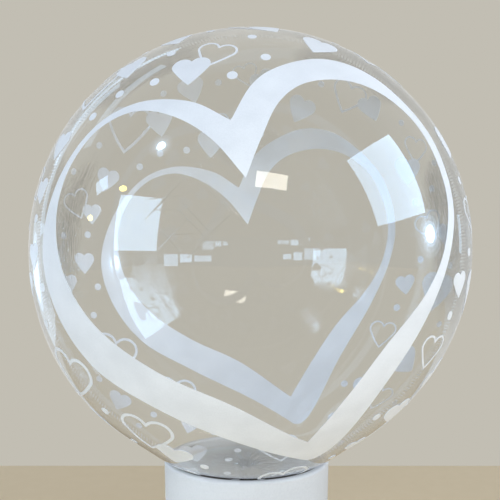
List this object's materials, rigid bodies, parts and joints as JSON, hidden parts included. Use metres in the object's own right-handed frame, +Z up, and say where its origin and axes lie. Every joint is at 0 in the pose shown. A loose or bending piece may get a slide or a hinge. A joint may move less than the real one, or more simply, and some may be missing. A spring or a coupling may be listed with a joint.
{
  "type": "clear bubble balloon in a round pot",
  "caption": "Round clear film balloon printed with white hearts and dots, its gathered neck standing in a white round pot.",
  "frame": {"origin": "on the table, straight below the middle of the balloon", "axes": "+Z up, -Y towards the side with the larger heart, +X to the right seen from there"},
  "size_m": [0.45, 0.45, 0.5944],
  "materials": {
    "film": "clear glossy film with white ink printed on it",
    "pot": "fine matt white glaze on ceramic"
  },
  "bodies": {
    "root": {"balloon": "film", "pot": "pot"}
  },
  "joints": []
}
